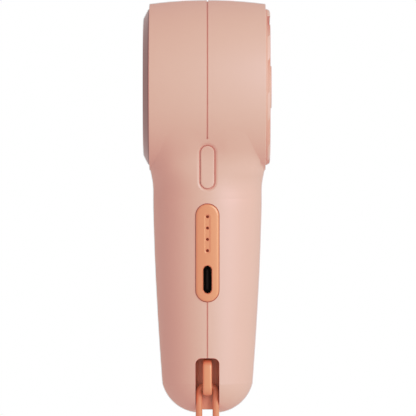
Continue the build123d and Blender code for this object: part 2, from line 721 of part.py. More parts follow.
# ---- board and battery -------------------------------------------------------------------------
def main_board():
    """The control board standing between the battery and the +X wall."""
    board = box(BOARD_X, BOARD_FACE, -BOARD_HALF, BOARD_HALF, BOARD_LOW, BOARD_HIGH)
    corners = board.edges().filter_by(Axis.X)
    return fillet(corners, 1.5)


def board_parts():
    """Chips and the inductor on the board's battery side and below the port."""
    parts = [box(BOARD_X - 1.2, BOARD_X, -5.5, -0.5, 28.0, 33.0)]
    parts.append(box(BOARD_X - 1.2, BOARD_X, 3.0, 6.0, 20.0, 26.0))
    parts.append(box(BOARD_FACE, BOARD_FACE + 1.4, -5.5, -1.5, -11.0, -7.0))
    parts.append(box(BOARD_FACE, BOARD_FACE + 2.4, 1.0, 5.0, -11.5, -6.0))
    return parts


def battery_cell():
    """The round lithium cell."""
    cell = rod_z(CELL_R, CELL_LOW, CELL_HIGH, CELL_X)
    return fillet(cell.edges().filter_by(GeomType.CIRCLE), 0.8)


def nickel_tabs():
    """A contact tab at each end of the cell."""
    tabs = []
    for z0 in (CELL_LOW - TAB_THICK, CELL_HIGH):
        disc = rod_z(4.0, z0, z0 + TAB_THICK, CELL_X)
        tail = box(CELL_X, CELL_X + 9.0, -2.0, 2.0, z0, z0 + TAB_THICK)
        tail += box(CELL_X + 5.4, CELL_X + 9.0, -2.0, 7.2, z0, z0 + TAB_THICK)
        tabs.append(disc + tail)
    return tabs


def battery_cradle():
    """The sleeve and side ribs that hold the cell in the grip."""
    inner = CELL_R + SEAT_GAP / 2
    outer = inner + CRADLE_WALL
    cradle = rod_z(outer, CRADLE_LOW, CRADLE_HIGH, CELL_X)
    half = RIB_THICK / 2
    for z0, z1, reach in ((CRADLE_LOW, 10.0, 14.6), (10.0, CRADLE_HIGH, 15.4)):
        cradle += box(CELL_X - half, CELL_X + half, -reach, reach, z0, z1) & plain_body(WALL + 0.4)
    return cradle - rod_z(inner, CRADLE_LOW - 1, CRADLE_HIGH + 1, CELL_X)


def battery_foot():
    """The post that carries the cell from the floor of the grip."""
    floor = CHANNEL_Z + NOTCH_WALL + SEAT_GAP
    return rod_z(3.8, floor, CELL_LOW - TAB_THICK - SEAT_GAP, CELL_X + 1.0)


def straight_rod(start, end, radius):
    """A round rod between two points."""
    a, b = Vector(*start), Vector(*end)
    return extrude(Plane(origin=a, z_dir=(b - a).normalized()) * Circle(radius), (b - a).length)


def battery_leads():
    """The two leads from the cell's tabs to the board."""
    x = BOARD_X - LEAD_R - 0.1
    lead = straight_rod((CELL_X + 8.4, 6.5, CELL_LOW + 0.4), (x, 6.9, BOARD_LOW + 3), LEAD_R)
    top = straight_rod((CELL_X + 7.4, 6.0, CELL_HIGH + TAB_THICK + 0.7), (x, 6.0, BOARD_HIGH - 1.0), LEAD_R)
    return [lead, top]


def motor_leads():
    """The three leads from the board up to the motor mount."""
    y0 = MOUNT_FRONT + MOUNT_DISC / 2 + 0.2
    leads = []
    for i in range(3):
        start = (BOARD_FACE - 0.6, y0 + 5.2 + 1.3 * i, BOARD_HIGH + 0.3)
        leads.append(straight_rod(start, (7.6, y0 + 0.9 + 0.95 * i, HEAD_RISE - 21.9), 0.42))
    return leads


# ---- cord --------------------------------------------------------------------------------------
def lanyard_staple():
    """The D-shaped bar across the notch that the wrist cord goes round."""
    x0 = NOTCH_BACK_X - STAPLE_ANCHOR
    tall = STAPLE_TOP - STAPLE_LOW
    wide = STAPLE_FRONT_X - x0
    outer = Rectangle(wide, tall)
    outer = fillet(outer.vertices().group_by(Axis.X)[-1], STAPLE_CORNER_R)
    hole_wide = wide - STAPLE_BAR + 2
    inner = Rectangle(hole_wide, tall - 2 * STAPLE_BAR)
    inner = fillet(inner.vertices().group_by(Axis.X)[-1], STAPLE_CORNER_R - STAPLE_BAR / 2)
    shift = (wide - hole_wide) / 2 - STAPLE_BAR
    profile = outer - Pos(shift, 0) * inner
    plane = Plane(origin=((x0 + STAPLE_FRONT_X) / 2, STAPLE_WIDE / 2, (STAPLE_TOP + STAPLE_LOW) / 2),
                  x_dir=(1, 0, 0), z_dir=(0, -1, 0))
    staple = extrude(plane * profile, STAPLE_WIDE)
    flat = [e for e in staple.edges() if abs(abs(e.center().Y) - STAPLE_WIDE / 2) < 0.01]
    mid_z = (STAPLE_TOP + STAPLE_LOW) / 2
    reach = tall / 2 - STAPLE_BAR + 0.05
    inside, outside = [], []
    for e in flat:
        spread = e.bounding_box()
        if spread.max.X < x0 + 0.1:
            continue
        near = max(abs(spread.min.Z - mid_z), abs(spread.max.Z - mid_z)) < reach
        inner_side = near and spread.max.X < STAPLE_FRONT_X - STAPLE_BAR + 0.05
        (inside if inner_side else outside).append(e)
    staple = fillet(inside, STAPLE_INNER_R)
    outside = [e for e in staple.edges() if any((e.center() - o.center()).length < 0.05 for o in outside)]
    return fillet(outside, STAPLE_OUTER_R)


def cord_radii(points):
    """The arc radius at each corner of the route."""
    radii = []
    for a, b, c in zip(points, points[1:], points[2:]):
        before, after = Vector(*b) - Vector(*a), Vector(*c) - Vector(*b)
        turn = math.radians(before.get_angle(after))
        radii.append(CORD_ARC_SHARE * min(before.length, after.length) / math.tan(turn / 2))
    return radii


def lanyard_cord():
    """The wrist cord: straight runs joined by arcs."""
    radii = cord_radii(CORD_ROUTE)
    path = FilletPolyline(*CORD_ROUTE, radius=radii)
    start = Vector(*CORD_ROUTE[0])
    way = (Vector(*CORD_ROUTE[1]) - start).normalized()
    tube = sweep(Plane(origin=start, z_dir=way) * Circle(CORD_R), path=path)
    section_volume = math.pi * CORD_R ** 2 * path.length
    print("cord radii", [round(r, 1) for r in radii])
    print("cord length", round(path.length, 1), "volume", round(tube.volume), round(section_volume))
    return tube


def lanyard_bead(cord):
    """The two-hole bead that gathers the cord."""
    z0 = BEAD_TOP - BEAD_TALL
    half_deep, half_wide = BEAD_DEEP / 2, BEAD_WIDE / 2
    bead = box(CORD_X - half_deep, CORD_X + half_deep, -half_wide, half_wide, z0, BEAD_TOP)
    bead = fillet(bead.edges(), BEAD_ROUND)
    side = CORD_ROUTE[1][1]
    for y in (side, -side):
        bead -= rod_z(CORD_R + CORD_FIT, z0 - 1, BEAD_TOP + 1, CORD_X, y)
    return bead - cord


def write(name, shape):
    """Writes one node, which may be a list of solids."""
    solids = []
    for item in shape if isinstance(shape, list) else [shape]:
        solids.extend(item.solids())
    node = solids[0] if len(solids) == 1 else Compound(solids)
    export_step(node, os.path.join("parts", name + ".step"))


def main():
    """Builds every piece and writes it."""
    os.makedirs("parts", exist_ok=True)
    body = outer_body()
    front, rear = shells(body)
    cord = lanyard_cord()
    pieces = {
        "front_shell": front,
        "rear_shell": rear,
        "shell_pins": shell_pins(),
        "duct_sleeve": duct_sleeve(),
        "outlet_ring": outlet_ring(),
        "outlet_guide": outlet_guide(),
        "outlet_collar": outlet_collar(),
        "nose_cap": nose_cap(),
        "intake_grille": intake_grille(),
        "intake_cap": intake_cap(),
        "intake_mesh": intake_mesh(),
        "motor_mount": motor_mount(),
        "motor_bearings": motor_bearings(),
        "stator_core": stator_core(),
        "stator_windings": stator_windings(),
        "magnet_ring": magnet_ring(),
        "rotor_can": rotor_can(),
        "motor_shaft": motor_shaft(),
        "impeller": impeller(),
        "power_button": power_button(body),
        "button_switch": button_switch(),
        "charge_plate": charge_plate(body),
        "light_pipe": light_pipe(body),
        "led_chips": led_chips(),
        "usb_shell": usb_shell(body),
        "usb_tongue": usb_tongue(body),
        "main_board": main_board(),
        "board_parts": board_parts(),
        "battery_cell": battery_cell(),
        "nickel_tabs": nickel_tabs(),
        "battery_cradle": battery_cradle(),
        "battery_foot": battery_foot(),
        "battery_leads": battery_leads(),
        "motor_leads": motor_leads(),
        "lanyard_staple": lanyard_staple(),
        "lanyard_cord": cord,
        "lanyard_bead": lanyard_bead(cord),
    }
    for name, shape in pieces.items():
        write(name, shape)


main()
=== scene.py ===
"""Looks of a cordless handheld fan: peach shells, orange charge plate, swirl intake and wrist cord.

Lengths and heights are in mm wherever a field or argument doesn't say metres.
"""
import logging
import math
from collections.abc import Iterable
from dataclasses import dataclass, field
from enum import Enum

import bpy
import numpy as np
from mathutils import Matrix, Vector


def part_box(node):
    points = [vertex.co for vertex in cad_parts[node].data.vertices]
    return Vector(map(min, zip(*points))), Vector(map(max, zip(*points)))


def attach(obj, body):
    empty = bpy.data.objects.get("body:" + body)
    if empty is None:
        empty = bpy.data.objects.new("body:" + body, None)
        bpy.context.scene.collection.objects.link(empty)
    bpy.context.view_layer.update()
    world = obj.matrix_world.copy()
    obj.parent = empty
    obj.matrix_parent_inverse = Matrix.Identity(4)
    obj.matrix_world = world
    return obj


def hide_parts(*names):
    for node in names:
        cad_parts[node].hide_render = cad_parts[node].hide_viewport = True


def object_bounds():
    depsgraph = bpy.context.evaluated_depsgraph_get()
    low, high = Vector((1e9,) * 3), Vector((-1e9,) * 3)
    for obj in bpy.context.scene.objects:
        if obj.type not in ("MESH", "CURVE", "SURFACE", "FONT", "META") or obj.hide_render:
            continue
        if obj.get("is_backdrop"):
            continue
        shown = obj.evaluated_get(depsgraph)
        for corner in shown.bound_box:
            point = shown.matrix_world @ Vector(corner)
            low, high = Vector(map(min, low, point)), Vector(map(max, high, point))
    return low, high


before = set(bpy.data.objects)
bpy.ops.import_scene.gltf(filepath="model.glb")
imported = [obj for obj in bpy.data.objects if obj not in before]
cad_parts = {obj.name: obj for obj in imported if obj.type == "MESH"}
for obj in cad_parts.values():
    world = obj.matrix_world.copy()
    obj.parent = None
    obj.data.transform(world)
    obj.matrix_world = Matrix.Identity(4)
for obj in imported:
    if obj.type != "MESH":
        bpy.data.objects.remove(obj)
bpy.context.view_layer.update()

LOG = logging.getLogger("handheld_fan")
MM = 0.001
FAN_AXIS_Z = 68.0
TINY = 1e-6  # keeps divisors and roots off zero
CENTRE_R = 0.001  # where turned profiles end beside the axis
TONE_POINTS = ((0.25, 0.25), (0.5, 0.565), (0.85, 0.81))
ALL_CHANNELS = 3  # number of the tone curve that bends every channel
Array = np.ndarray
Triple = tuple[float, float, float]


class Body(Enum):
    """The rigid bodies that pieces ride on."""

    CASE = "case"
    ROTOR = "rotor"
    BUTTON = "button"


class Grain(Enum):
    """How the fine texture of a finish runs: the scale of its coordinates."""

    EVEN = (1.0, 1.0, 1.0)
    ALONG_AXIS = (1.0, 0.06, 1.0)


# ---- finishes --------------------------------------------------------------------------------
class Shading:
    """A node material in the making, with the patterns that the finishes share."""

    def __init__(self, name: str) -> None:
        """Makes a material with its standard shader.

        Args:
            name: the material's name.
        """
        self.material = bpy.data.materials.new(name)
        self.material.use_nodes = True
        self.nodes = self.material.node_tree.nodes
        self.links = self.material.node_tree.links
        self.shader = self.nodes["Principled BSDF"]

    def settings(self, values: dict[str, float]) -> None:
        """Sets constants of the shader.

        Args:
            values: the value of each named socket.
        """
        for socket, value in values.items():
            self.shader.inputs[socket].default_value = value

    def coordinates(self, kind: str, scale: Triple, turn: float = 0.0) -> bpy.types.NodeSocket:
        """Adds scaled and turned coordinates.

        Args:
            kind: which coordinates, Object or UV.
            scale: their scale along each direction.
            turn: angle about the third direction, in radians.

        Returns:
            The socket that carries them.
        """
        place = self.nodes.new("ShaderNodeTexCoord")
        mapping = self.nodes.new("ShaderNodeMapping")
        mapping.inputs["Rotation"].default_value = (0.0, 0.0, turn)
        mapping.inputs["Scale"].default_value = scale
        self.links.new(place.outputs[kind], mapping.inputs["Vector"])
        return mapping.outputs["Vector"]

    def pattern(self, node: str, place: bpy.types.NodeSocket,
                values: dict[str, float]) -> bpy.types.NodeSocket:
        """Adds a texture.

        Args:
            node: the kind of texture node.
            place: its coordinates.
            values: the value of each named socket.

        Returns:
            The socket that carries its strength.
        """
        texture = self.nodes.new(node)
        for socket, value in values.items():
            texture.inputs[socket].default_value = value
        self.links.new(place, texture.inputs["Vector"])
        return texture.outputs["Fac"]

    def colours(self, pattern: bpy.types.NodeSocket, low: Iterable[float], high: Iterable[float],
                ends: tuple[float, float] = (0.0, 1.0)) -> None:
        """Lets the base colour run between two colours.

        Args:
            pattern: what drives it.
            low: the colour at the lower end.
            high: the colour at the upper end.
            ends: the pattern's strength at each end.
        """
        ramp = self.nodes.new("ShaderNodeValToRGB")
        for stop, place, colour in zip(ramp.color_ramp.elements, ends, (low, high)):
            stop.position = place
            stop.color = (*colour, 1.0)
        self.links.new(pattern, ramp.inputs["Fac"])
        self.links.new(ramp.outputs["Color"], self.shader.inputs["Base Color"])

    def gloss(self, pattern: bpy.types.NodeSocket, low: float, high: float) -> None:
        """Lets the roughness run between two values.

        Args:
            pattern: what drives it.
            low: the least roughness.
            high: the greatest roughness.
        """
        span = self.nodes.new("ShaderNodeMapRange")
        span.inputs["To Min"].default_value = low
        span.inputs["To Max"].default_value = high
        self.links.new(pattern, span.inputs["Value"])
        self.links.new(span.outputs["Result"], self.shader.inputs["Roughness"])

    def bump(self, pattern: bpy.types.NodeSocket, strength: float, depth: float) -> None:
        """Roughens the surface's normal.

        Args:
            pattern: the height.
            strength: how much of it counts, from 0 to 1.
            depth: the greatest height.
        """
        bump = self.nodes.new("ShaderNodeBump")
        bump.inputs["Strength"].default_value = strength
        bump.inputs["Distance"].default_value = depth * MM
        self.links.new(pattern, bump.inputs["Height"])
        self.links.new(bump.outputs["Normal"], self.shader.inputs["Normal"])


@dataclass(frozen=True)
class Finish:
    """A moulded, metal or painted surface with mottled colour, fine grain and uneven gloss."""

    name: str
    colour: Triple
    roughness: float = 0.45
    metallic: float = 0.0
    specular: float = 0.5
    coat: float = 0.0
    coat_roughness: float = 0.2
    mottle: float = 0.03
    mottle_scale: float = 60.0
    mottle_ends: tuple[float, float] = (0.3, 0.7)
    uneven: float = 0.04
    uneven_scale: float = 220.0
    grain_size: float = 0.35
    grain_depth: float = 0.01
    grain_strength: float = 0.25
    direction: Grain = Grain.EVEN

    def build(self) -> bpy.types.Material:
        """Makes the node material.

        Returns:
            The material, whose patterns read Object coordinates.
        """
        shading = Shading(self.name)
        shading.settings({"Metallic": self.metallic, "Specular IOR Level": self.specular,
                          "Coat Weight": self.coat, "Coat Roughness": self.coat_roughness})
        place = shading.coordinates("Object", self.direction.value)
        cloud = self._noise(shading, place, self.mottle_scale, 3.0)
        shading.colours(cloud, *([min(1.0, c * share) for c in self.colour]
                                 for share in (1.0 - self.mottle, 1.0 + self.mottle)), self.mottle_ends)
        patch = self._noise(shading, place, self.uneven_scale, 2.0)
        shading.gloss(patch, max(0.02, self.roughness - self.uneven), min(1.0, self.roughness + self.uneven))
        grain = self._noise(shading, place, 1 / MM / self.grain_size, 2.0)
        shading.bump(grain, self.grain_strength, self.grain_depth)
        return shading.material

    @staticmethod
    def _noise(shading: Shading, place: bpy.types.NodeSocket, scale: float,
               detail: float) -> bpy.types.NodeSocket:
        """Adds one noise texture with this scale per metre."""
        return shading.pattern("ShaderNodeTexNoise", place, {"Scale": scale, "Detail": detail})


@dataclass(frozen=True)
class CordFinish:
    """Smooth soft cord with the faint slant of its twisted yarns, laid out on the piece's UV map, with
    painted shade in the furrows between the yarns.
    """

    name: str = "wrist_cord"
    colour: Triple = (0.70, 0.25, 0.135)
    furrow_shade: float = 0.93
    turns: float = 260.0
    yarns: float = 6.0
    slant: float = 0.5
    waver: float = 0.6
    roughness: float = 0.5
    sheen: float = 0.15
    bump_strength: float = 0.2
    bump_depth: float = 0.02

    def build(self) -> bpy.types.Material:
        """Makes the node material.

        Returns:
            The material, whose slant follows the UV map.
        """
        shading = Shading(self.name)
        shading.settings({"Roughness": self.roughness, "Sheen Weight": self.sheen})
        place = shading.coordinates("UV", (self.turns, self.yarns, 1.0), self.slant)
        wave = shading.pattern("ShaderNodeTexWave", place, {"Scale": 1.0, "Distortion": self.waver})
        # painted shade: the furrows between the yarns, low in the bump, are coloured a little darker
        shading.colours(wave, [c * self.furrow_shade for c in self.colour], self.colour)
        shading.bump(wave, self.bump_strength, self.bump_depth)
        return shading.material


PEACH = Finish("peach_satin", (0.72, 0.378, 0.312), roughness=0.5, specular=0.9, mottle=0.008,
               grain_size=0.25, grain_depth=0.004)
# painted shade: a deeper, more saturated peach that stands in for the shade inside the cord notch
PEACH_PAINTED_SHADE = Finish("peach_painted_shade", (0.80, 0.36, 0.24), roughness=0.5, mottle=0.01)
ORANGE = Finish("orange_satin", (0.76, 0.275, 0.145), roughness=0.36, specular=0.8, mottle=0.01,
                grain_depth=0.004)
MAUVE = Finish("mauve_gloss", (0.36, 0.17, 0.155), roughness=0.32, coat=0.3, mottle=0.02)
WHITE = Finish("white_moulding", (0.78, 0.76, 0.73), roughness=0.4)
NATURAL = Finish("natural_moulding", (0.62, 0.61, 0.58), roughness=0.5)
BLACK = Finish("black_moulding", (0.012, 0.008, 0.008), roughness=0.55, specular=0.15)
STEEL = Finish("turned_steel", (0.62, 0.62, 0.63), roughness=0.28, metallic=1.0, mottle=0.04,
               direction=Grain.ALONG_AXIS, grain_depth=0.01)
PLATED = Finish("dark_plating", (0.05, 0.045, 0.045), roughness=0.32, metallic=1.0)
COPPER = Finish("enamelled_copper", (0.75, 0.30, 0.12), roughness=0.3, metallic=0.9, coat=0.5)
MAGNET = Finish("sintered_magnet", (0.07, 0.07, 0.075), roughness=0.6, mottle=0.12)
NICKEL = Finish("nickel_strip", (0.66, 0.64, 0.60), roughness=0.3, metallic=1.0, mottle=0.05)
CLEAR = Finish("smoked_clear", (0.20, 0.04, 0.02), roughness=0.6, specular=0.1, mottle=0.02)
LAMP = Finish("lamp_lens", (0.9, 0.88, 0.78), roughness=0.2)
BOARD = Finish("solder_mask", (0.03, 0.17, 0.08), roughness=0.3, coat=0.5, mottle=0.06)
WRAP = Finish("cell_wrap", (0.06, 0.18, 0.36), roughness=0.25, coat=0.4)
WIRE = Finish("red_insulation", (0.45, 0.03, 0.02), roughness=0.4)
MESH = Finish("dark_screen", (0.30, 0.16, 0.13), roughness=0.5)
FLOOR = Finish("pale_floor", (0.9, 0.9, 0.9), roughness=0.8, mottle=0.002, grain_size=4.0,
               grain_depth=0.001)


# ---- mesh helpers ----------------------------------------------------------------------------
def grid_faces(rows: int, columns: int, wrap_rows: bool, wrap_columns: bool, offset: int = 0) -> Array:
    """Quads of a grid of points, joined round where a direction wraps.

    Args:
        rows: points in the first direction.
        columns: points in the second direction.
        wrap_rows: whether the first direction closes on itself.
        wrap_columns: whether the second direction closes on itself.
        offset: number of the grid's first point.

    Returns:
        An array of four point numbers per face.
    """
    r = np.arange(rows if wrap_rows else rows - 1)[:, None]
    c = np.arange(columns if wrap_columns else columns - 1)[None, :]
    r1, c1 = (r + 1) % rows, (c + 1) % columns
    corners = [r * columns + c, r1 * columns + c, r1 * columns + c1, r * columns + c1]
    return np.stack(corners, axis=-1).reshape(-1, 4) + offset


def end_caps(rows: int, ring: int) -> list[Array]:
    """Faces that close the first and last ring of a tube.

    Args:
        rows: rings along the tube.
        ring: points round each ring.

    Returns:
        Two lists of point numbers, turned opposite ways.
    """
    return [np.arange(ring), np.arange(ring)[::-1] + (rows - 1) * ring]


def points_of(x: Array, y: Array, z: Array) -> Array:
    """Rows of points from coordinates that broadcast together.

    Args:
        x: across, in mm.
        y: along the fan axis, in mm.
        z: height, in mm.

    Returns:
        One row per point, in metres.
    """
    return np.stack(np.broadcast_arrays(x, y, z), axis=-1).reshape(-1, 3) * MM


def mesh_piece(name: str, points: Array, faces: Iterable[Array], body: Body,
               finish: bpy.types.Material) -> bpy.types.Object:
    """Makes a smooth object from arrays, dresses it and lets it ride on a body.

    Args:
        name: the piece's name.
        points: one row per point, in metres in the row frame.
        faces: point numbers of each face.
        body: what it moves with.
        finish: its material.

    Returns:
        The new object, sitting at the origin.
    """
    mesh = bpy.data.meshes.new(name)
    mesh.from_pydata(points.tolist(), [], [face.tolist() for face in faces])
    mesh.polygons.foreach_set("use_smooth", [True] * len(mesh.polygons))
    mesh.update()
    piece = bpy.data.objects.new(name, mesh)
    bpy.context.scene.collection.objects.link(piece)
    mesh.materials.append(finish)
    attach(piece, body.value)
    LOG.info("%s: %d faces on %s", name, len(mesh.polygons), body.value)
    return piece


def turned_points(profile: Array, steps: int) -> Array:
    """A closed (radius, y) profile turned round the fan axis: x = r cos t, z = axis + r sin t.

    Args:
        profile: rows of radius and y, in mm.
        steps: points round the turn.

    Returns:
        Points in metres, in a grid of steps by profile rows, flattened.
    """
    t = np.linspace(0.0, 2 * math.pi, steps, endpoint=False)[:, None]
    r, y = profile[None, :, 0], profile[None, :, 1]
    return points_of(r * np.cos(t), y, FAN_AXIS_Z + r * np.sin(t))


def rounded_outline(corners: list[tuple[float, float]], radius: float, steps: int = 4) -> Array:
    """A closed outline whose corners are replaced by parabolic arcs between points beside them.

    Args:
        corners: the outline's corners.
        radius: how far from each corner its arc starts, at most 0.45 of the shorter side.
        steps: points on each arc, less one.

    Returns:
        The rounded outline's points.
    """
    p = np.array(corners, float)
    before, after = np.roll(p, 1, axis=0), np.roll(p, -1, axis=0)
    a, b = before - p, after - p
    la, lb = np.linalg.norm(a, axis=1), np.linalg.norm(b, axis=1)
    cut = np.minimum(radius, 0.45 * np.minimum(la, lb))[:, None]
    start, end = p + a / la[:, None] * cut, p + b / lb[:, None] * cut
    u = np.linspace(0, 1, steps + 1)[None, :, None]
    arc = (1 - u) ** 2 * start[:, None] + 2 * u * (1 - u) * p[:, None] + u ** 2 * end[:, None]
    return arc.reshape(-1, 2)


def stadium(wide: float, tall: float, middle: float, grow: Array, turn: Array) -> tuple[Array, Array]:
    """Outline of two half circles joined by straight sides, met by rays from its centre.

    A ray that meets a side gives (radius, radius tan t); otherwise its length is
    s + sqrt(s^2 + radius^2 - straight^2) with s = straight |sin t|.

    Args:
        wide: width of the outline.
        tall: height of the outline.
        middle: height of its centre.
        grow: how far outside the outline.
        turn: angle of each ray.

    Returns:
        y and z, in mm.
    """
    straight, radius = (tall - wide) / 2, wide / 2 + grow
    c, s = np.cos(turn), np.sin(turn)
    up = np.abs(s / np.where(np.abs(c) < 1e-9, 1e-9, c)) * radius
    lean = np.abs(s) * straight
    reach = lean + np.sqrt(np.clip(lean ** 2 + radius ** 2 - straight ** 2, 0, None))
    y = np.where(up < straight, np.sign(c) * radius, reach * c)
    z = np.where(up < straight, np.sign(s) * up, reach * s)
    return y, middle + z


def smooth_step(share: Array) -> Array:
    """Eases from 0 to 1: 3 s^2 - 2 s^3 of the clipped share.

    Args:
        share: how far along, 0 at the start and 1 at the end.

    Returns:
        The eased share.
    """
    s = np.clip(share, 0, 1)
    return s * s * (3 - 2 * s)


def dress(node: str, finish: bpy.types.Material) -> bpy.types.Object:
    """Gives a carried-over node its material.

    Args:
        node: the node's name.
        finish: its material.

    Returns:
        The node's object.
    """
    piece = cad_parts[node]
    piece.data.materials.clear()
    piece.data.materials.append(finish)
    LOG.info("%s dressed in %s", node, finish.name)
    return piece


# ---- the case --------------------------------------------------------------------------------
@dataclass(frozen=True)
class CaseForm:
    """The case's outer form: its half width at each depth and height."""

    # the drum: its radius at the seam, and the radius of its bow along the fan axis
    drum_r: float = 29.1
    barrel_r: float = 145.0
    # the grip: heights of its base and neck, half depth at the base, how it widens and flares
    low_z: float = -41.0
    neck_z: float = 35.0
    neck_long: float = 15.0
    base_deep: float = 14.3
    taper: float = 3.9
    taper_power: float = 1.6
    width_share: float = 0.97
    flare: float = 3.4
    flare_power: float = 1.7
    shoulder: float = 0.9
    shoulder_share: float = 0.4
    # the rounding where they cross: at the seam, beside it, and how it fades towards the rims
    soft: float = 2.4
    softer: float = 1.5
    softer_from: float = 1.0
    softer_over: float = 6.0
    fade_half: float = 18.0
    fade_power: int = 8
    least_soft: float = 0.02
    # how far up and down the skin is evened out
    even: float = 2.2

    def skin(self, y: Array, z: Array) -> Array:
        """Half width of the case, evened out: the mean of the plain form at five near heights.

        Args:
            y: depths, in mm.
            z: heights, in mm.

        Returns:
            x of the outer skin, in mm.
        """
        steps = self.even * np.linspace(-1.0, 1.0, 5)
        return np.mean([self._plain(y, z + step) for step in steps], axis=0)

    def _plain(self, y: Array, z: Array) -> Array:
        """Half width of the case: the larger of flared grip and crowned drum, rounded where they cross.

        The grip's section is a superellipse |x/a|^n + |y/b|^n = 1 whose a, b and n grow up the flare.
        The drum's is x = sqrt(R(y)^2 - (axis - z)^2). Near their crossing the larger one gains
        k/4 (1 - |difference| / k)^2, where the softness k grows off the middle and fades at the rims.

        Args:
            y: depths, in mm.
            z: heights, in mm.

        Returns:
            x of the outer form, in mm.
        """
        up = np.clip((z - self.low_z) / (self.neck_z - self.low_z), 0, 1)
        deep = self.base_deep + self.taper * (1 - (1 - up) ** self.taper_power)
        rise = np.clip((z - self.neck_z) / self.neck_long, 0, 1)
        wide = deep * self.width_share + self.flare * rise ** self.flare_power
        deep = deep + self.shoulder * smooth_step(rise / self.shoulder_share)
        square = 2 + 2 * rise
        grip = wide * np.clip(1 - (np.abs(y) / deep) ** square, TINY, None) ** (1 / square)
        crown = self.drum_r - (self.barrel_r - np.sqrt(self.barrel_r ** 2 - y * y))
        drum = np.sqrt(np.clip(crown ** 2 - (FAN_AXIS_Z - z) ** 2, 0, None))
        k = self.soft + self.softer * smooth_step((np.abs(y) - self.softer_from) / self.softer_over)
        k = k * np.clip(1 - (np.abs(y) / self.fade_half) ** self.fade_power, self.least_soft, None)
        near = np.clip(1 - np.abs(grip - drum) / k, 0, None)
        return np.maximum(grip, drum) + near * near * k / 4


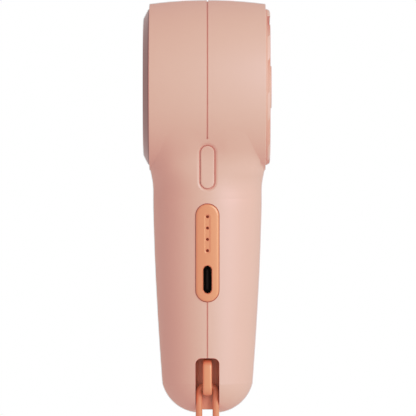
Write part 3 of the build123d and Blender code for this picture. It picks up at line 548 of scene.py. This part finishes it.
@dataclass
class Case:
    """The two shells, their pins, the faired neck and the button's cap."""

    form: CaseForm = CaseForm()
    finish: Finish = PEACH
    # the faired neck: how far it stands off the form, its half depth, its heights and its grids
    proud: float = 0.03
    fair_half: float = 17.6
    fair_z: tuple[float, float] = (30.0, 50.2)
    fair_rings: int = 29
    fair_rays: int = 180
    first_ray: float = 0.004
    side_start: float = 0.6
    side_over: float = 4.0
    side_lift: float = 4.5
    near_dip: float = 0.1
    near_power: int = 8
    far_z: tuple[float, float] = (30.5, 54.0)
    far_grid: tuple[int, int] = (40, 60)
    far_dip: float = 0.08
    far_power: int = 12
    seam_half: float = 0.26

    # the button, and the gap round it: how far outside the stadium each ring is, and how deep
    button_z: float = 41.0
    button_wide: float = 4.6
    button_tall: float = 14.1
    gap_grow: tuple[float, ...] = (0.06, 0.3, 0.38, 0.4, 0.42, 0.5, 0.62, 0.8, 0.95, 1.1)
    gap_sunk: tuple[float, ...] = (0.62, 0.62, 0.55, 0.4, 0.3, 0.24, 0.2, 0.13, 0.03, 0.0)
    cap_round: float = 0.5
    cap_fall: float = 0.3
    cap_edge: float = 0.7
    cap_skirt: float = 4.0
    cap_sunk: float = 0.02
    cap_end_rows: int = 12
    cap_side_rows: int = 30
    cap_columns: int = 27

    def build(self) -> None:
        """Dresses the shells, then makes the faired neck and the button."""
        peach = self.finish.build()
        for node in ("front_shell", "rear_shell", "intake_grille", "intake_cap"):
            dress(node, peach)
        dress("shell_pins", STEEL.build())
        self.neck_button_side(peach)
        self.neck_plain_side(peach)
        self.button(peach)

    def neck_button_side(self, finish: bpy.types.Material) -> None:
        """Makes the faired neck round the button: rings from the gap's floor out to a rectangle.

        Each ring is the stadium grown a little more, sunk by its own depth; past the recess the rings
        slide in equal shares to the rectangle met by the same ray. The rectangle's top is higher at
        its sides, and its rim dips just below the form.

        Args:
            finish: its material.
        """
        turn = np.linspace(0, 2 * math.pi, self.fair_rays, endpoint=False) + self.first_ray
        grow, sunk = np.array(self.gap_grow), np.array(self.gap_sunk)
        y0, z0 = stadium(self.button_wide, self.button_tall, self.button_z, grow[:, None], turn[None, :])
        c, s = np.cos(turn), np.sin(turn)
        low, high = self.fair_z[0] - self.button_z, self.fair_z[1] - self.button_z
        steep = np.where(np.abs(s) < TINY, TINY, s)
        aside = (np.abs(high * c / steep) - self.side_start) / self.side_over
        high = high + self.side_lift * smooth_step(aside)
        reach = np.minimum(self.fair_half / np.clip(np.abs(c), TINY, None),
                           np.where(s > 0, high, low) / steep)
        y1, z1 = reach * c, self.button_z + reach * s
        share = np.linspace(0, 1, self.fair_rings + 1)[1:, None]
        y = np.vstack([y0, y0[-1] + (y1 - y0[-1]) * share])
        z = np.vstack([z0, z0[-1] + (z1 - z0[-1]) * share])
        dip = self.near_dip * np.linspace(0, 1, self.fair_rings) ** self.near_power
        depth = np.r_[sunk, dip][:, None]
        x = self.form.skin(y, z) + self.proud - depth
        faces = grid_faces(y.shape[0], turn.size, False, True)
        mesh_piece("neck_button_side", points_of(x, y, z), faces, Body.CASE, finish)

    def neck_plain_side(self, finish: bpy.types.Material) -> None:
        """Makes the faired neck on the far side as two grids of depth by height beside the seam.

        Args:
            finish: its material.
        """
        rows, columns = self.far_grid
        middle, half = sum(self.far_z) / 2, (self.far_z[1] - self.far_z[0]) / 2
        for name, sign in (("neck_far_front", -1.0), ("neck_far_rear", 1.0)):
            y, z = np.meshgrid(sign * np.linspace(self.seam_half, self.fair_half, rows),
                               np.linspace(*self.far_z, columns), indexing="ij")
            edge = np.maximum(np.abs(z - middle) / half, np.abs(y) / self.fair_half)
            x = self.far_dip * edge ** self.far_power - self.form.skin(y, z) - self.proud
            faces = grid_faces(rows, columns, False, False)
            faces = faces[:, ::-1] if sign > 0 else faces
            mesh_piece(name, points_of(x, y, z), faces, Body.CASE, finish)

    def button(self, finish: bpy.types.Material) -> None:
        """Makes the button's cap: rows up the stadium, each as wide as the stadium is there.

        The top follows the case's skin and falls by a quarter ellipse near its edge; the outermost
        columns drop straight down inside the case.

        Args:
            finish: its material.
        """
        radius, straight = self.button_wide / 2, (self.button_tall - self.button_wide) / 2
        end = np.sin(np.linspace(0, math.pi / 2, self.cap_end_rows))
        side = np.linspace(-straight, straight, self.cap_side_rows)[1:-1]
        rows = np.r_[-straight - radius * end[::-1], side, straight + radius * end]
        past = np.clip(np.abs(rows) - straight, 0, radius)[:, None]
        half = np.sqrt(np.clip(radius ** 2 - past ** 2, TINY, None))
        across = np.sin(np.linspace(-math.pi / 2, math.pi / 2, self.cap_columns))
        y = half * np.r_[-1, -1, across, 1, 1][None, :]
        inside = np.clip(radius - np.hypot(y, past), 0, self.cap_round) / self.cap_round
        fall = self.cap_fall * (1 - np.sqrt(np.clip(1 - (1 - inside) ** 2, 0, 1)))
        fall[:, [1, -2]] = self.cap_edge
        fall[:, [0, -1]] = self.cap_skirt
        z = self.button_z + rows[:, None]
        x = self.form.skin(y, z) - fall - self.cap_sunk
        faces = grid_faces(rows.size, y.shape[1], False, False)[:, ::-1]
        cap = mesh_piece("button_cap", points_of(x, y, z), faces, Body.BUTTON, finish)
        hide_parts("power_button")


@dataclass
class ChargePlate:
    """The orange plate with its lights and port, and the lining of the cord notch below it, a sheet in
    deeper peach that paints the shade in the notch.
    """

    form: CaseForm = CaseForm()
    # the plate: its stadium, its rounded edge and the fine strip down its middle
    wide: float = 7.75
    tall: float = 32.4
    middle: float = 12.6
    proud: float = 0.5
    spine: float = 1.62
    edge: float = 0.8
    skirt: float = 1.3
    rays: int = 240
    first_ray: float = 0.003
    edge_rings: int = 8
    flat_rings: int = 5
    strip_rows: int = 240
    strip_end_rows: int = 14
    strip_columns: int = 37
    tip_half: float = 1e-4
    # what sinks into the strip: stadiums as width, height and middle, then depth and easing
    groove: Triple = (2.0, 13.2, 18.975)
    groove_deep: float = 0.2
    groove_ease: float = 0.3
    dots: int = 4
    dot_r: float = 0.44
    dot_top: float = 24.6
    dot_pitch: float = 3.75
    dot_deep: float = 0.6
    dot_lip: float = 0.1
    dot_ease: float = 0.16
    port: Triple = (2.9, 9.3, 3.75)
    port_deep: float = 1.3
    port_open: float = 1.2
    port_lip: float = 0.15
    port_ease: float = 0.26

    # the notch: half width, back, heights, mouth, and how the mouth draws in with the base
    notch_half: float = 3.86
    notch_back: float = 7.46
    notch_top: float = -22.46
    notch_low: float = -39.6
    notch_out: float = 13.0
    notch_round: float = 1.2
    base_round_z: float = -29.0
    base_draw: float = 0.035
    lining_rows: int = 20
    wall_columns: int = 6
    bend_columns: int = 8

    def build(self) -> None:
        """Makes the notch's lining of painted shade and the plate, and dresses the light pipe, the lamps and
        the port.
        """
        orange = ORANGE.build()
        # the lining's deeper peach is painted shade in the notch's hollow
        self.lining(PEACH_PAINTED_SHADE.build())
        self.plate(orange)
        for node, finish in {"light_pipe": CLEAR, "led_chips": LAMP, "usb_shell": PLATED,
                             "usb_tongue": BLACK}.items():
            dress(node, finish.build())

    @staticmethod
    def inside(size: Triple, y: Array, z: Array) -> Array:
        """How far each point is inside a stadium: radius less the distance to its middle line.

        Args:
            size: width, height and middle of the stadium.
            y: depths, in mm.
            z: heights, in mm.

        Returns:
            Distances in mm, negative outside.
        """
        wide, tall, middle = size
        past = np.clip(np.abs(z - middle) - (tall - wide) / 2, 0, None)
        return wide / 2 - np.hypot(y, past)

    def plate(self, finish: bpy.types.Material) -> None:
        """Makes the plate: rings rounded at the edge, then a fine strip with groove, dots and port.

        The rings fall by a quarter ellipse to the edge. The strip's rows are as wide as the inner
        stadium; it sinks by eased steps inside the groove, the dots and the port, and faces deep in
        the port are left out.

        Args:
            finish: its material.
        """
        turn = np.linspace(0, 2 * math.pi, self.rays, endpoint=False) + self.first_ray
        quarter = np.linspace(0, math.pi / 2, self.edge_rings)
        flat = np.linspace(-self.edge, self.spine - self.wide / 2, self.flat_rings)[1:]
        grow = np.r_[0.0, -self.edge * (1 - np.cos(quarter)), flat]
        fall = np.r_[self.skirt, self.proud * (1 - np.sin(quarter)), np.zeros(flat.size)]
        y, z = stadium(self.wide, self.tall, self.middle, grow[:, None], turn[None, :])
        rings = points_of(self.form.skin(y, z) + self.proud - fall[:, None], y, z)
        faces = list(grid_faces(grow.size, turn.size, False, True)[:, ::-1])

        straight = (self.tall - self.wide) / 2
        end = np.sin(np.linspace(0, math.pi / 2, self.strip_end_rows)) * self.spine
        side = np.linspace(-straight, straight, self.strip_rows)[1:-1]
        rows = np.r_[-straight - end[::-1], side, straight + end]
        past = np.clip(np.abs(rows) - straight, 0, None)
        half = np.sqrt(np.clip(self.spine ** 2 - past ** 2, self.tip_half ** 2, None))
        y = half[:, None] * np.linspace(-1, 1, self.strip_columns)[None, :]
        z = self.middle + rows[:, None]
        dots = self.dot_top - self.dot_pitch * np.arange(self.dots)
        near = np.min([np.hypot(y, z - dot) for dot in dots], axis=0)
        port = (self.inside(self.port, y, z) + self.port_lip) / self.port_ease
        sunk = self.groove_deep * smooth_step(self.inside(self.groove, y, z) / self.groove_ease)
        sunk = sunk + self.dot_deep * smooth_step((self.dot_r + self.dot_lip - near) / self.dot_ease)
        sunk = sunk + self.port_deep * smooth_step(port)
        strip = points_of(self.form.skin(y, z) + self.proud - sunk, y, z)
        quads = grid_faces(rows.size, self.strip_columns, False, False)
        kept = quads[sunk.ravel()[quads].min(axis=1) < self.port_open]
        faces += list(kept[:, ::-1] + len(rings))
        piece = mesh_piece("light_and_port_plate", np.vstack([rings, strip]), faces, Body.CASE,
                           finish)
        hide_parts("charge_plate")

    def lining(self, finish: bpy.types.Material) -> None:
        """Makes the notch's lining of painted shade: a U with round inner corners carried down the notch,
        and its roof.

        The mouth of the U draws in with the square of the depth below the rounding's start, so that
        it stays inside the base.

        Args:
            finish: its material.
        """
        t = np.linspace(0, math.pi / 2, self.bend_columns)
        inner = self.notch_back + self.notch_round
        z = np.linspace(self.notch_top, self.notch_low, self.lining_rows)[:, None]
        mouth = self.notch_out - self.base_draw * np.clip(self.base_round_z - z, 0, None) ** 2
        run = np.linspace(1, 0, self.wall_columns + 1)[:-1]
        wall = inner + (mouth - inner) * run[None, :]
        bend = self.notch_back + self.notch_round * (1 - np.sin(t))[None, :] + 0 * z
        x = np.hstack([wall, bend, bend[:, ::-1], wall[:, ::-1]])
        side = np.r_[np.full(run.size, self.notch_half),
                     self.notch_half - self.notch_round * (1 - np.cos(t))]
        y = np.r_[side, -side[::-1]][None, :]
        faces = list(grid_faces(self.lining_rows, x.shape[1], False, False)[:, ::-1])
        roof = np.arange(x.shape[1])[::-1]
        mesh_piece("notch_shade_lining", points_of(x, y, z), faces + [roof], Body.CASE, finish)


# ---- the air path and the motor --------------------------------------------------------------
@dataclass(frozen=True)
class BladeSet:
    """Curved blades round the fan axis, each a closed thin wing section carried from root to tip.

    As t goes round the section, the chord position is u = (1 - cos t) / 2, and the skin stands
    thick / 2 sin t (p - q u) off a bowed middle line 4 camber u (1 - u), where p and q are the two
    numbers of blunt. The blade leans by a pitch that changes evenly with radius and trails by an
    angle that grows with the square of the way out. Pitches and sweep are in degrees.
    """

    count: int
    root_r: float
    tip_r: float
    middle_y: float
    deep: float
    root_pitch: float
    tip_pitch: float
    camber: float
    sweep: float
    thick: float
    rows: int = 15
    ring: int = 28
    blunt: tuple[float, float] = (1.15, 0.5)

    def points(self) -> Array:
        """Makes the points of every blade.

        Returns:
            One row per point, in metres: rings from root to tip, blade after blade.
        """
        v = np.linspace(0, 1, self.rows)[:, None]
        loop = np.linspace(0, 2 * math.pi, self.ring, endpoint=False)[None, :]
        u = (1 - np.cos(loop)) / 2
        side = self.thick / 2 * np.sin(loop) * (self.blunt[0] - self.blunt[1] * u)
        lean = np.radians(self.root_pitch + (self.tip_pitch - self.root_pitch) * v)
        along = self.deep / np.cos(lean) * (u - 0.5)
        bow = side + 4 * self.camber * u * (1 - u)
        y = self.middle_y + along * np.cos(lean) - bow * np.sin(lean)
        y = np.clip(y, self.middle_y - self.deep / 2, self.middle_y + self.deep / 2)
        tangent = along * np.sin(lean) + bow * np.cos(lean)
        radius = self.root_r + (self.tip_r - self.root_r) * v
        turn = tangent / radius + np.radians(self.sweep) * v * v
        angles = turn[None] + (2 * math.pi * np.arange(self.count) / self.count)[:, None, None]
        return points_of(radius * np.cos(angles), y, FAN_AXIS_Z + radius * np.sin(angles))

    def faces(self) -> list[Array]:
        """Makes the faces of every blade, closed at root and tip.

        Returns:
            Point numbers of each face.
        """
        one = list(grid_faces(self.rows, self.ring, False, True)) + end_caps(self.rows, self.ring)
        return [face + blade * self.rows * self.ring for blade in range(self.count) for face in one]


@dataclass
class AirPath:
    """The outlet's vanes, hub, band and nose, its ring, sleeve and mount, and the intake's screen."""

    # the outlet guide: front and depth, hub and band, and how far the vanes run into them
    guide_front: float = -17.3
    guide_deep: float = 3.4
    hub_r: float = 7.6
    hub_bore: float = 6.4
    band_r: float = 20.8
    band_thick: float = 1.0
    rounding: float = 0.3
    root_sunk: float = 0.5
    tip_sunk: float = 0.3
    nose_r: float = 6.2
    nose_flat: float = 4.6
    nose_round: float = 0.8
    nose_proud: float = 0.2
    nose_edge: float = 0.1
    steps: int = 120
    nose_steps: int = 96

    def build(self) -> None:
        """Makes the vanes and dresses the fixed parts of the air path."""
        self.vanes()
        dress("outlet_ring", MAUVE.build())
        natural = NATURAL.build()
        for node in ("duct_sleeve", "outlet_collar", "motor_mount"):
            dress(node, natural)
        dress("intake_mesh", MESH.build())

    def vanes(self) -> None:
        """Makes the outlet's curved vanes with hub and band, and the nose, turned from rounded profiles."""
        y0, y1 = self.guide_front, self.guide_front + self.guide_deep
        finish = PEACH.build()
        blades = BladeSet(count=11, root_r=self.hub_r - self.root_sunk,
                          tip_r=self.band_r - self.tip_sunk, middle_y=(y0 + y1) / 2,
                          deep=self.guide_deep, root_pitch=24.0, tip_pitch=34.0, camber=0.35,
                          sweep=12.0, thick=0.95)
        points, faces = blades.points(), blades.faces()
        for inner, outer in ((self.hub_bore, self.hub_r), (self.band_r - self.band_thick, self.band_r)):
            profile = rounded_outline([(inner, y0), (outer, y0), (outer, y1), (inner, y1)], self.rounding)
            faces += list(grid_faces(self.steps, len(profile), True, True, len(points))[:, ::-1])
            points = np.vstack([points, turned_points(profile, self.steps)])
        guide = mesh_piece("outlet_vanes", points, faces, Body.CASE, finish)
        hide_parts("outlet_guide")
        tip = y0 - self.nose_proud
        cap = rounded_outline([(CENTRE_R, y1), (self.nose_r, y1), (self.nose_r, y0 + self.nose_edge),
                               (self.nose_flat, tip), (CENTRE_R, tip)], self.nose_round, 6)
        nose = mesh_piece("nose_dome", turned_points(cap, self.nose_steps),
                          grid_faces(self.nose_steps, len(cap), True, True), Body.CASE, finish)
        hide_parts("nose_cap")


@dataclass
class Motor:
    """The motor and the impeller."""

    # the impeller: hub shell, the web that closes it, and where the blades stand on it
    hub_r: float = 12.27
    hub_bore: float = 11.1
    hub_long: float = 16.0
    web: float = 1.0
    tip_r: float = 22.0
    blade_back: float = 5.0
    blade_deep: float = 9.0
    root_sunk: float = 0.8
    nose_rows: int = 16
    steps: int = 120

    def build(self) -> None:
        """Dresses the motor's parts and makes the impeller."""
        steel = STEEL.build()
        for node in ("motor_bearings", "stator_core", "rotor_can", "motor_shaft"):
            dress(node, steel)
        dress("stator_windings", COPPER.build())
        dress("magnet_ring", MAGNET.build())
        self.impeller()

    def impeller(self) -> None:
        """Makes the impeller: a hub shell turned from a bullet profile and nine swept, cambered blades."""
        low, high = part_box("impeller")
        front, back = low.y / MM, high.y / MM
        root = front + self.hub_long
        web = root - self.web
        t = np.linspace(0, math.pi / 2, self.nose_rows)
        nose = np.c_[self.hub_r * np.cos(t), web + (back - root + self.web) * np.sin(t)]
        nose[-1, 0] = CENTRE_R
        profile = np.vstack([[(self.hub_bore, front)], [(self.hub_r, front)], nose,
                             [(CENTRE_R, web), (self.hub_bore, web)]])
        blades = BladeSet(count=9, root_r=self.hub_r - self.root_sunk, tip_r=self.tip_r,
                          middle_y=root - self.blade_back, deep=self.blade_deep, root_pitch=38.0,
                          tip_pitch=54.0, camber=0.9, sweep=14.0, thick=1.3)
        points, faces = blades.points(), blades.faces()
        faces += list(grid_faces(self.steps, len(profile), True, True, len(points))[:, ::-1])
        points = np.vstack([points, turned_points(profile, self.steps)])
        wheel = mesh_piece("impeller_wheel", points, faces, Body.ROTOR, WHITE.build())
        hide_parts("impeller")


# ---- power and cord --------------------------------------------------------------------------
@dataclass(frozen=True)
class Power:
    """The board, the cell, what holds it and the wires: the nodes that share each finish."""

    groups: tuple[tuple[Finish, tuple[str, ...]], ...] = (
        (BLACK, ("board_parts", "button_switch")), (BOARD, ("main_board",)),
        (WRAP, ("battery_cell",)), (NICKEL, ("nickel_tabs",)),
        (NATURAL, ("battery_cradle", "battery_foot")), (WIRE, ("battery_leads", "motor_leads")))

    def build(self) -> None:
        """Dresses the board and the battery's parts."""
        for finish, nodes in self.groups:
            material = finish.build()
            for node in nodes:
                dress(node, material)


@dataclass
class WristCord:
    """The cord over the bar in the base, gathered by a bead into a wrist loop."""

    # the D-shaped bar: heights and reach of its middle line, half thickness and width, and bend
    bar_top: float = -23.8
    bar_low: float = -33.9
    bar_front: float = 12.8
    bar_back: float = 6.2
    bar_half: tuple[float, float] = (1.0, 1.55)
    bar_bend: float = 2.1
    bar_square: float = 3.4
    bar_ring: int = 40
    bend_steps: int = 12

    # the cord: its radius, its control points from the bead round to the bead, its length in metres
    radius: float = 1.1
    route: list[Triple] = field(default_factory=lambda: [
        (9.6, -2.8, -53.0), (9.6, -2.8, -37.25), (9.6, -2.8, -31.65), (9.6, 2.8, -31.65),
        (9.6, 2.8, -37.25), (9.6, 2.8, -60.5),
        (9.8, 6.6, -73.0), (10.3, 14.4, -86.0), (10.2, 17.9, -101.0), (9.6, 11.5, -115.0),
        (9.0, -3.0, -120.4), (8.8, -15.2, -112.4), (8.9, -18.0, -96.0), (9.3, -11.6, -80.0),
        (9.6, -4.2, -67.0), (9.6, -2.8, -53.4)])
    length: float = 0.2015

    def build(self) -> None:
        """Makes the cord as a smooth line with the route as control points, and dresses the bar and bead."""
        orange = ORANGE.build()
        bead = dress("lanyard_bead", orange)
        self.bar(orange)
        curve = bpy.data.curves.new("wrist_cord", "CURVE")
        curve.dimensions = "3D"
        curve.bevel_depth = self.radius * MM
        curve.bevel_resolution = 6
        curve.resolution_u = 12
        curve.use_fill_caps = True
        line = curve.splines.new("NURBS")
        points = np.array(self.route) * MM
        line.points.add(len(points) - 1)
        line.points.foreach_set("co", np.c_[points, np.ones(len(points))].ravel())
        line.order_u = 3
        line.use_endpoint_u = True
        cord = bpy.data.objects.new("wrist_cord", curve)
        bpy.context.scene.collection.objects.link(cord)
        curve.materials.append(CordFinish().build())
        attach(cord, Body.CASE.value)
        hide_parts("lanyard_cord")
        LOG.info("wrist_cord: %.4f m", self.length)

    def bar(self, finish: bpy.types.Material) -> None:
        """Makes the D-shaped bar: a superellipse |a|^n + |b|^n = 1 with n = bar_square carried round a D.

        Args:
            finish: its material.
        """
        r = self.bar_bend
        t = np.linspace(0, math.pi / 2, self.bend_steps)
        top = np.c_[self.bar_front - r + r * np.sin(t), self.bar_top - r + r * np.cos(t)]
        low = np.c_[self.bar_front - r + r * np.cos(t), self.bar_low + r - r * np.sin(t)]
        path = np.vstack([[(self.bar_back, self.bar_top)], top, low, [(self.bar_back, self.bar_low)]])
        way = np.gradient(path, axis=0)
        way /= np.linalg.norm(way, axis=1)[:, None]
        out = np.c_[-way[:, 1], way[:, 0]]
        ring = np.linspace(0, 2 * math.pi, self.bar_ring, endpoint=False)
        a, b = (half * np.sign(wave) * np.abs(wave) ** (2 / self.bar_square)
                for half, wave in zip(self.bar_half, (np.cos(ring), np.sin(ring))))
        points = points_of(path[:, :1] + out[:, :1] * a, b[None, :], path[:, 1:] + out[:, 1:] * a)
        faces = list(grid_faces(len(path), ring.size, False, True)) + end_caps(len(path), ring.size)
        bar = mesh_piece("cord_bar", points, faces, Body.CASE, finish)
        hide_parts("lanyard_staple")


# ---- the studio ------------------------------------------------------------------------------
@dataclass(frozen=True)
class Softbox:
    """A square area light aimed at the fan, with its place and size in metres."""

    name: str
    place: Triple
    size: float
    energy: float
    aim: Triple = (0.0, 0.0, 0.03)

    def build(self) -> None:
        """Makes the light."""
        light = bpy.data.lights.new(self.name, "AREA")
        light.energy = self.energy
        light.size = self.size
        lamp = bpy.data.objects.new(self.name, light)
        lamp.location = self.place
        lamp.rotation_euler = (Vector(self.place) - Vector(self.aim)).to_track_quat("Z", "Y").to_euler()
        bpy.context.scene.collection.objects.link(lamp)


@dataclass
class Studio:
    """A pale floor under the fan, a bright surround, softboxes and the long-lens camera."""

    view_height: float = 139.36
    centre: tuple[float, float] = (0.2, 27.5)
    distance_m: float = 1.6
    sensor: float = 36.0
    floor_r_m: float = 1.0
    floor_drop: float = 4.0
    floor_steps: int = 64
    surround: tuple[float, float] = (0.6, 1.0)  # strength as a light, and to the eye
    softboxes: tuple[Softbox, ...] = (
        Softbox("key", (1.1, 1.0, 0.5), 0.9, 13.6),
        Softbox("low_front", (1.3, 0.15, -0.35), 0.35, 1.6))

    def build(self) -> None:
        """Makes the floor, surround, lights and camera."""
        self._floor()
        self._surround()
        for softbox in self.softboxes:
            softbox.build()
        self._camera()

    def _floor(self) -> None:
        """Makes a round pale floor below the hanging cord."""
        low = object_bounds()[0].z - self.floor_drop * MM
        t = np.linspace(0, 2 * math.pi, self.floor_steps, endpoint=False)
        points = np.c_[self.floor_r_m * np.cos(t), self.floor_r_m * np.sin(t), np.full(t.size, low)]
        mesh = bpy.data.meshes.new("floor")
        mesh.from_pydata(points.tolist(), [], [list(range(t.size))])
        floor = bpy.data.objects.new("floor", mesh)
        bpy.context.scene.collection.objects.link(floor)
        mesh.materials.append(FLOOR.build())
        floor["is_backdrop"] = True

    def _surround(self) -> None:
        """Makes the surround: full white to the eye, softer as a light."""
        world = bpy.data.worlds.new("surround")
        world.use_nodes = True
        nodes, links = world.node_tree.nodes, world.node_tree.links
        back = nodes["Background"]
        back.inputs["Color"].default_value = (1.0, 1.0, 1.0, 1.0)
        seen = nodes.new("ShaderNodeLightPath")
        span = nodes.new("ShaderNodeMapRange")
        span.inputs["To Min"].default_value, span.inputs["To Max"].default_value = self.surround
        links.new(seen.outputs["Is Camera Ray"], span.inputs["Value"])
        links.new(span.outputs["Result"], back.inputs["Strength"])
        bpy.context.scene.world = world

    def _camera(self) -> None:
        """Makes the level long-lens camera facing the button side."""
        data = bpy.data.cameras.new("camera")
        data.sensor_width = self.sensor
        data.lens = self.sensor * self.distance_m / (self.view_height * MM)
        data.clip_start = 0.01
        camera = bpy.data.objects.new("camera", data)
        camera.location = (self.distance_m, self.centre[0] * MM, self.centre[1] * MM)
        camera.rotation_euler = (math.pi / 2, 0.0, math.pi / 2)
        bpy.context.scene.collection.objects.link(camera)
        bpy.context.scene.camera = camera


def film_response() -> None:
    """Sets the plain display transform with a gentle shoulder in its tone curve."""
    view = bpy.context.scene.view_settings
    view.view_transform = "Standard"
    view.use_curve_mapping = True
    for x, y in TONE_POINTS:
        view.curve_mapping.curves[ALL_CHANNELS].points.new(x, y)
    view.curve_mapping.update()


def main() -> None:
    """Builds every sub-assembly, then the studio."""
    logging.basicConfig(level=logging.INFO, format="%(message)s")
    film_response()
    for part in (Case(), ChargePlate(), AirPath(), Motor(), Power(), WristCord(), Studio()):
        LOG.info("building %s", type(part).__name__)
        part.build()


if __name__ == "__main__":
    main()
